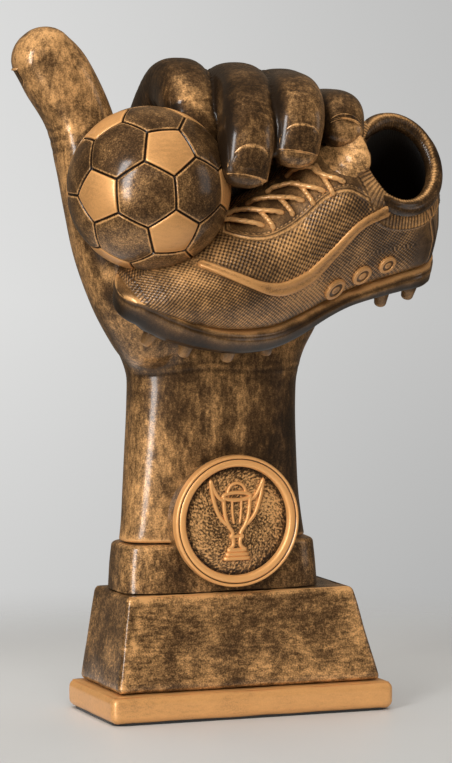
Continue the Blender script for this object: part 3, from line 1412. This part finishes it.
class TROPHY_OT_opening(bpy.types.Operator):
    """Make the boot's padded roll, its dark lining and its tongue"""

    bl_idname = "trophy.opening"
    bl_label = "Boot opening"

    def execute(self, context):
        self.roll()
        self.lining()
        self.tongue()
        return {"FINISHED"}

    def roll(self):
        end = math.radians(ROLL_END)
        turn = np.linspace(-end, end, 60)
        path = opening_path(turn)
        thin = 1 - 0.35 * smoothstep(0.86, 1.0, np.abs(turn) / end)
        rows = np.column_stack((path, thin * ROLL_RADIUS * 1.04, thin * ROLL_RADIUS * 1.04))
        rings, *_ = limb_rings(rows, steps=5, sides=36, across=(0.0, 0.0, 1.0), power=2.0)
        roll = from_points("roll", *skin_of(in_trophy(rings)))
        outward(roll)
        local = (coordinates(roll.data) - np.array(BOOT_PLACE.translation)) @ np.array(
            BOOT_PLACE.to_3x3())
        x, y = in_opening(local)
        out = np.hypot(x, y)
        inside = smoothstep(1.02, 0.90, out)
        turn = np.arctan2(y, x)
        points, normals = surface_of(roll)
        ribs = waves(turn * ROLL_RIBS)
        points += normals * (inside * ribs * 0.00012)[:, None]
        groove = bell(out, 1.12, 0.016)
        points -= normals * (groove * 0.00025)[:, None]
        set_coordinates(roll.data, points)
        lip = bell(out, 0.97, 0.050)
        mark_wear(roll, lip * (0.8 + 0.4 * ribs) - 0.30 - 0.3 * groove)
        done(roll, "padded_roll", bronze("bronze_roll", -0.02), ["collar_roll"])

    def lining(self):
        turn = circle(240)
        levels = (  # share of the depth from the floor, spread of the opening's path
            (1.02, 0.93), (0.985, 0.90), (0.95, 0.86), (0.88, 0.82), (0.75, 0.80), (0.6, 0.78),
            (0.4, 0.76), (0.2, 0.70), (0.06, 0.60), (0.0, 0.46), (0.0, 0.25),
        )
        rows = spline(levels, 4)
        rings = []
        for share, spread in rows:
            ribs = 0.010 * np.cos(turn * ROLL_RIBS) * np.clip((share - 0.7) / 0.2, 0, 1)
            ring = opening_path(turn, spread)
            ring = ring + (ring - ring.mean(axis=0)) * ribs[:, None]
            ring[:, 2] = CAVITY_FLOOR + (ring[:, 2] - CAVITY_FLOOR) * share
            rings.append(ring)
        rings = np.array(rings)
        points, faces = skin_of(rings, ends=False)
        last = len(points)
        points = np.vstack((points, rings[-1].mean(axis=0)))
        base = (len(rows) - 1) * len(turn)
        faces += [(base + i, base + (i + 1) % len(turn), last) for i in range(len(turn))]
        piece = from_points("lining", in_trophy(points), [face[::-1] for face in faces])
        wall = 20  # a ring half way down, whose faces should look inwards
        inward = in_trophy(rings[wall].mean(axis=0)) - in_trophy(rings[wall][0])
        if piece.data.polygons[wall * len(turn)].normal.dot(Vector(inward)) < 0:
            flip(piece)
        depth = np.append(np.repeat(rows[:, 0], len(turn)), 0.0)
        ribs = np.append(np.tile(waves(turn * ROLL_RIBS), len(rows)), 0.0)
        mark_wear(piece, smoothstep(0.93, 1.0, depth) * (0.45 + 0.5 * ribs), 0.001)
        done(piece, "boot_lining", lining("dark_lining"))

    def tongue(self):
        rings = []
        steps = 48
        bend = float(boot_rows(TONGUE_BEND)[3])
        slope = (bend - float(boot_rows(TONGUE_BEND - 0.08)[3])) / (0.08 * BOOT_LENGTH)
        round_u, round_v = oval(circle(40), 2.3)
        for step in range(steps + 1):
            t = step / steps
            share = TONGUE_FROM + (TONGUE_TO - TONGUE_FROM) * t
            over = max(0.0, share - TONGUE_BEND)
            top = float(boot_rows(min(share, TONGUE_BEND))[3]) + over * BOOT_LENGTH * slope
            lobe = max(0.0, (t - 0.62) / 0.38)
            puff = math.sin(min(1.0, lobe * 1.25) * math.pi * 0.5)
            half = TONGUE_HALF_WIDTH * (0.6 + 0.4 * min(1.0, t * 3)) * (1 + 0.14 * puff)
            thick = 0.0014 + 0.0012 * puff
            close = 1.0
            if t > 0.93:
                close = math.sqrt(max(0.02, 1 - ((t - 0.93) / 0.07) ** 2))
            centre = np.array((share * BOOT_LENGTH, 0, top - 0.0012 + 0.0022 * lobe))
            lean = TOP_LEAN * float(ankle_blend(share))
            u, v = round_u * half * close, round_v * thick * close
            rings.append(centre + np.stack((0 * u, u, v + lean * u), axis=-1))
        piece = from_points("tongue", *skin_of(in_trophy(np.array(rings))))
        outward(piece)
        points, normals = surface_of(piece)
        crumbs = lumps(points, 0.0013) + 0.7 * lumps(points, 0.0006)
        set_coordinates(piece.data, points + normals * (crumbs * 0.00015)[:, None])
        mark_wear(piece, 0.22 + crumbs * 0.25, 0.0005, 2)
        done(piece, "soft_tongue", bronze("bronze_tongue", 0.16), ["boot_tongue"])


class TROPHY_OT_outsole(bpy.types.Operator):
    """Mould the outsole with its lip, and set the twelve studs"""

    bl_idname = "trophy.outsole"
    bl_label = "Outsole and studs"

    def execute(self, context):
        self.sole()
        self.studs()
        return {"FINISHED"}

    def sole(self):
        share, narrow, reach = capped(np.linspace(0, 1, 230))
        width, under, seam, _ = boot_rows(share)
        rise = 0.0014 + 0.0010 * smoothstep(0.25, 0.0, share)
        middle, half = (under + seam + rise) / 2, (seam + rise - under) / 2
        u, v = oval(circle(160), 4.6)
        lip = 0.0006 + 0.00040 * bell(v, 0.86, 0.10) - 0.00026 * bell(v, 0.60, 0.08)
        y = (width[:, None] + lip[None, :]) * u[None, :] * narrow[:, None]
        z = middle[:, None] + half[:, None] * v[None, :] * (0.72 + 0.28 * narrow[:, None])
        x = (share * BOOT_LENGTH + reach)[:, None] + 0 * y
        piece = from_points("sole", *skin_of(in_trophy(np.stack((x, y, z), axis=-1))))
        tall = np.concatenate((np.tile(v, len(share)), (0.0, 0.0)))
        gold = (bell(tall, 0.90, 0.09) - 0.30 * bell(tall, 0.60, 0.1)
                + 0.16 * smoothstep(-0.2, 0.5, tall) - 0.75 * smoothstep(0.35, -0.35, tall))
        mark_wear(piece, gold)
        with editing(piece):
            bpy.ops.mesh.normals_make_consistent(inside=False)
        done(piece, "moulded_outsole", bronze("bronze_sole", -0.06, grain=0.45), ["boot_outsole"])

    def studs(self):
        first = primitive(
            "cone", vertices=40, radius1=STUD_RADIUS * 1.04, radius2=STUD_RADIUS * 0.74,
            depth=STUD_HEIGHT + 0.0013, location=(0, 0, STUD_HEIGHT / 2 - 0.00015))
        with editing(first):
            pick("edge", lambda e: all(v.co.z > STUD_HEIGHT * 0.8 for v in e.verts))
            bpy.ops.mesh.bevel(offset=0.0009, segments=6)
            pick("edge", lambda e: all(v.co.z < 0.0 for v in e.verts))
            bpy.ops.mesh.bevel(offset=0.0003, segments=2)
        for i, (share, across) in enumerate(STUD_SPOTS):
            width, under, _, _ = (float(row) for row in boot_rows(share))
            before, after = float(boot_rows(share - 0.01)[1]), float(boot_rows(share + 0.01)[1])
            down = Vector(((after - before) / (0.02 * BOOT_LENGTH), across * STUD_SPLAY, -1.0))
            turn = Vector((0, 0, 1)).rotation_difference(down.normalized()).to_matrix().to_4x4()
            root = Vector((share * BOOT_LENGTH, across * width, under))
            stud = linked("stud", first.data.copy())
            stud.data.transform(BOOT_PLACE @ Matrix.Translation(root) @ turn)
            tip = np.array(BOOT_PLACE @ (root + down.normalized() * STUD_HEIGHT))
            near = np.linalg.norm(coordinates(stud.data) - tip, axis=1)
            mark_wear(stud, smoothstep(0.0024, 0.0008, near) * 0.5)
            done(stud, f"turned_stud_{i + 1}", bronze("bronze_stud", 0.02, grain=0.3),
                 [f"stud_{i + 1}"], angle=60)
        bpy.data.objects.remove(first)


class TROPHY_OT_laces(bpy.types.Operator):
    """Lay the braided laces over the tongue"""

    bl_idname = "trophy.laces"
    bl_label = "Laces"

    def execute(self, context):
        for i in range(LACE_COUNT):
            share = LACE_FIRST + i * LACE_PITCH
            self.lace(f"braided_bar_{i + 1}", (share, LACE_OUTER), (share - LACE_SLANT, LACE_INNER),
                      0.0008, f"lace_bar_{i + 1}")
        for i in range(LACE_COUNT - 1):
            share = LACE_FIRST + i * LACE_PITCH
            self.lace(f"braided_cross_{i + 1}", (share + 0.25 * LACE_PITCH, 92.0),
                      (share + 0.35 * LACE_PITCH, LACE_OUTER - 7.0), 0.0, f"lace_cross_{i + 1}")
        return {"FINISHED"}

    def lace(self, name, start, end, bow, node):
        t = np.linspace(0, 1, 60)
        share = start[0] + (end[0] - start[0]) * t
        degrees = start[1] + (end[1] - start[1]) * t
        ease = np.minimum(1.0, np.minimum(t, 1 - t) / 0.12)
        lift = LACE_RADIUS * (0.2 + 1.0 * ease) + 0.0003 + bow * np.sin(math.pi * t)
        path = upper_points(share, degrees, lift)
        width = LACE_RADIUS * (0.90 + 0.05 * np.sin(t * 40))
        rows = np.column_stack((path, width, width))
        rings, *_ = limb_rings(rows, steps=2, sides=20, across=(0.3, 0.0, 1.0), power=2.0)
        around = circle(rings.shape[1])
        along = np.arange(len(rings))[:, None] / len(rings)
        middle = rings.mean(axis=1, keepdims=True)
        length = float(np.linalg.norm(np.diff(path, axis=0), axis=1).sum())
        turns = length / 0.0016
        twist = waves(2 * around[None, :] + along * turns * 2 * math.pi)
        rings = middle + (rings - middle) * (0.92 + 0.10 * twist[..., None])
        piece = from_points(name, *skin_of(in_trophy(rings)))
        outward(piece)
        mark_wear(piece, 0.12, 0.00006, 5)
        done(piece, name, bronze("bronze_lace", 0.02), [node])


class TROPHY_OT_trims(bpy.types.Operator):
    """Lay the gold piping along the boot and set its three side discs"""

    bl_idname = "trophy.trims"
    bl_label = "Piping and discs"

    def execute(self, context):
        self.piping()
        for i, (share, degrees, radius) in enumerate(BADGES):
            self.badge(i + 1, share, degrees, radius)
        return {"FINISHED"}

    def piping(self):
        rows = spline(PIPING, 16)
        share, degrees, half = rows.T
        base = upper_points(share, degrees)
        normal = unit(upper_points(share, degrees, 0.001) - base)
        along = unit(np.gradient(base, axis=0))
        across = unit(np.cross(along, normal))
        profile = spline(((-1.0, -0.6), (-1.0, 0.25), (-0.86, 0.72), (-0.55, 0.92), (0.0, 0.80),
                          (0.55, 0.92), (0.86, 0.72), (1.0, 0.25), (1.0, -0.6)), 3)
        count = np.arange(len(rows))
        taper = np.minimum(1.0, np.minimum(count, count[::-1]) / 4 + 0.3)
        wide = profile[:, 0] * (half * 1.12 * taper)[:, None]
        tall = profile[:, 1] * (PIPING_HEIGHT * taper)[:, None]
        rings = (base[:, None] + across[:, None] * wide[..., None]
                 + normal[:, None] * tall[..., None])
        piece = from_points("piping", *skin_of(in_trophy(rings)))
        outward(piece)
        mark_wear(piece, height=0.00010, rounds=3)
        done(piece, "gold_piping", gold_paint("gold_piping_paint", 0.86, 1.1), ["trim_band"],
             angle=60)

    def badge(self, number, share, degrees, radius):
        here = Vector(upper_points(share, degrees))
        normal = (Vector(upper_points(share, degrees, 0.001)) - here).normalized()
        thickness = 0.0014
        badge = primitive("cylinder", vertices=64, radius=radius, depth=thickness)
        with editing(badge):
            pick("edge", lambda e: all(v.co.z > 0 for v in e.verts))
            bpy.ops.mesh.bevel(offset=0.0003, segments=4)
            pick("face", lambda f: f.normal.z > 0.9 and len(f.verts) > 8)
            bpy.ops.mesh.inset(thickness=radius * 0.22)
            bpy.ops.mesh.inset(thickness=radius * 0.05, depth=-0.00022)
            bpy.ops.mesh.inset(thickness=radius * 0.20)
            bpy.ops.mesh.inset(thickness=radius * 0.10, depth=0.00016)
            bpy.ops.mesh.inset(thickness=radius * 0.12)
        turn = Vector((0, 0, 1)).rotation_difference(normal).to_matrix().to_4x4()
        badge.data.transform(BOOT_PLACE @ Matrix.Translation(here + normal * 0.0001) @ turn)
        mark_wear(badge, height=0.00008, rounds=2)
        done(badge, f"gold_disc_{number}", gold_paint("gold_disc_paint", 0.85, 1.1),
             [f"side_badge_{number}"], angle=45)


# ---- pieces that stay as they are


class TROPHY_OT_hidden(bpy.types.Operator):
    """Finish the felt pad, the rod with its nut and washer, the pins and the medallion's boss"""

    bl_idname = "trophy.hidden"
    bl_label = "Felt, rod and pins"

    def execute(self, context):
        steel, cloth, back = zinc("zinc_plate"), felt("felt_nap"), bronze("bronze_arm")
        finishes = {"felt_pad": cloth, "medallion_boss": back}
        for node in ("clamp_rod", "rod_nut", "rod_washer", "ball_dowel", "boot_dowel"):
            finishes[node] = steel
        for node, finish in finishes.items():
            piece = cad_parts[node]
            piece.data.materials.clear()
            piece.data.materials.append(finish)
        return {"FINISHED"}


# ---- stage

# place, what the light looks at, its width and height, watts, whether gloss mirrors it
LIGHTS = {
    "key": ((-0.66, -0.50, 0.30), (0.0, 0.0, 0.09), (0.20, 0.70), 6.0, True),
    "front": ((-0.20, -0.95, 0.60), (0.0, 0.0, 0.08), (0.45, 0.3), 3.6, False),
    "top": ((-0.10, 0.10, 1.30), (0.0, 0.0, 0.0), (1.8, 1.4), 19.0, False),
    "fill": ((0.80, -0.40, 0.30), (0.0, 0.0, 0.08), (0.3, 0.5), 0.5, True),
}


class TROPHY_OT_stage(bpy.types.Operator):
    """Set the pale floor, the soft lights and the camera"""

    bl_idname = "trophy.stage"
    bl_label = "Stage"

    def execute(self, context):
        self.floor()
        self.world()
        for name, light in LIGHTS.items():
            self.light(name, *light)
        self.camera(context.scene.trophy_stage)
        return {"FINISHED"}

    def floor(self):
        floor = primitive("circle", vertices=128, radius=0.9, fill_type="NGON")
        floor.name = "floor"
        finish = Finish("pale_floor")
        cloud = finish.noise(0.08, 2.0)
        out = finish.node("ShaderNodeVectorMath", {"operation": "LENGTH"}, {0: finish.place})
        reach = Value(finish, out.outputs["Value"])
        colour = finish.ramp(cloud, (0.3, (0.58, 0.58, 0.565)), (0.7, (0.61, 0.61, 0.595)))
        mixed = finish.node("ShaderNodeMix", {"data_type": "RGBA"}, {
            "Factor": reach.between(0.05, 0.15), 6: colour, 7: (0.50, 0.50, 0.488, 1.0)})
        finish.set(Base_Color=mixed.outputs[2], Roughness=0.42, Alpha=1 - reach.between(0.09, 0.24))
        floor.data.materials.append(finish.material)

    def world(self):
        world = bpy.data.worlds.new("studio")
        bpy.context.scene.world = world
        world.use_nodes = True
        sky = Tree(world.node_tree)
        way = sky.node("ShaderNodeTexCoord").outputs["Generated"]
        right = sky.dot(way, (0.9336, -0.3584, 0.0))
        level = sky.dot(way, (0.0296, 0.0771, 0.9966))
        tone = sky.ramp(level * 5.0 + 0.5, *(
            (stop, (grey, grey, grey * 0.99))
            for stop, grey in ((0.0, 0.46), (0.2, 0.53), (0.6, 0.64), (1.0, 0.61))))
        seen = sky.node(
            "ShaderNodeBackground", None, {
                "Color": tone, "Strength": 1.19 - right.between(-0.1, 0.1) * 0.38})
        around = world.node_tree.nodes["Background"]
        around.inputs["Color"].default_value = (0.125, 0.100, 0.075, 1.0)
        ray = sky.node("ShaderNodeLightPath")
        mixed = sky.node("ShaderNodeMixShader", None, {
            0: ray.outputs["Is Camera Ray"], 1: around.outputs[0], 2: seen.outputs[0]})
        sky.fill(world.node_tree.nodes["World Output"], {"Surface": mixed.outputs[0]})

    def light(self, name, place, target, size, power, mirrored):
        lamp = bpy.data.lights.new(name, "AREA")
        lamp.shape = "RECTANGLE"
        lamp.size, lamp.size_y = size
        lamp.energy = power
        piece = linked(name, lamp)
        piece.location = place
        piece.rotation_euler = (Vector(target) - Vector(place)).to_track_quat("-Z", "Y").to_euler()
        piece.visible_glossy = mirrored

    def camera(self, sizes):
        lens = bpy.data.cameras.new("camera")
        lens.sensor_width = 36.0
        lens.lens = sizes.lens
        lens.clip_start, lens.clip_end = 0.01, 20.0
        camera = linked("camera", lens)
        turn, rise = sizes.azimuth, sizes.elevation
        back = Vector((
            math.sin(turn) * math.cos(rise), -math.cos(turn) * math.cos(rise), math.sin(rise)))
        camera.location = Vector(sizes.target) + back * sizes.distance
        camera.rotation_euler = (-back).to_track_quat("-Z", "Y").to_euler()
        bpy.context.scene.camera = camera
        bpy.context.scene.view_settings.view_transform = "Standard"


# ---- panel


class TROPHY_PT_sidebar(bpy.types.Panel):
    """The trophy's pieces and their sizes"""

    bl_idname = "TROPHY_PT_sidebar"
    bl_label = "Figure Trophy"
    bl_space_type = "VIEW_3D"
    bl_region_type = "UI"
    bl_category = "Trophy"

    def draw(self, context):
        for operator in OPERATORS:
            self.layout.operator(operator.bl_idname)
        for name in SETTINGS:
            box = self.layout.box()
            group = getattr(context.scene, name)
            for key in group.__annotations__:
                box.prop(group, key)


SETTINGS = {
    "trophy_plinth": TrophyPlinthSettings,
    "trophy_medal": TrophyMedalSettings,
    "trophy_hand": TrophyHandSettings,
    "trophy_ball": TrophyBallSettings,
    "trophy_boot": TrophyBootSettings,
    "trophy_finish": TrophyFinishSettings,
    "trophy_stage": TrophyStageSettings,
}
OPERATORS = (
    TROPHY_OT_plinth, TROPHY_OT_medallion, TROPHY_OT_ball, TROPHY_OT_hand, TROPHY_OT_nails,
    TROPHY_OT_upper, TROPHY_OT_opening, TROPHY_OT_outsole, TROPHY_OT_laces, TROPHY_OT_trims,
    TROPHY_OT_hidden, TROPHY_OT_stage,
)


def register():
    for group in SETTINGS.values():
        bpy.utils.register_class(group)
    for name, group in SETTINGS.items():
        setattr(bpy.types.Scene, name, bpy.props.PointerProperty(type=group))
    for operator in (*OPERATORS, TROPHY_PT_sidebar):
        bpy.utils.register_class(operator)


def unregister():
    for operator in (*OPERATORS, TROPHY_PT_sidebar):
        bpy.utils.unregister_class(operator)
    for name, group in SETTINGS.items():
        delattr(bpy.types.Scene, name)
        bpy.utils.unregister_class(group)


def main():
    register()
    for operator in OPERATORS:
        group, name = operator.bl_idname.split(".")
        getattr(getattr(bpy.ops, group), name)()
    deselect()


if __name__ == "__main__":
    main()
